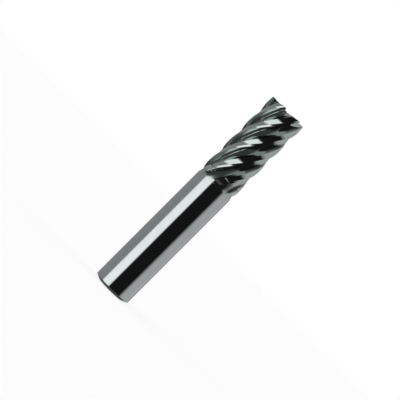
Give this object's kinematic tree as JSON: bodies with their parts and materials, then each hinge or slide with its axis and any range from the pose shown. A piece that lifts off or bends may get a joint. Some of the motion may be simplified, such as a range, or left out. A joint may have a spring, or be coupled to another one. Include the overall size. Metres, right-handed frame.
{
  "type": "end mill",
  "caption": "Square end mill with a plain cylindrical shank and a brazed cutting head with right-hand helical flutes, relieved lands and ground end teeth.",
  "frame": {"origin": "centre of the shank's flat rear face, which the tool stands on", "axes": "+Z along the tool's axis towards the cutting end; +X through the cutting edge of one tooth at its tip corner"},
  "size_m": [0.0142, 0.0142, 0.082],
  "materials": {
    "shank_steel": "cylindrically ground, bright",
    "braze": "silver solder, its thin rim at the neck, just inside the shank surface",
    "carbide": "fine-ground bare tungsten carbide, bright"
  },
  "bodies": {
    "root": {"shank": "shank_steel", "braze_joint": "braze", "cutting_head": "carbide"}
  },
  "joints": []
}
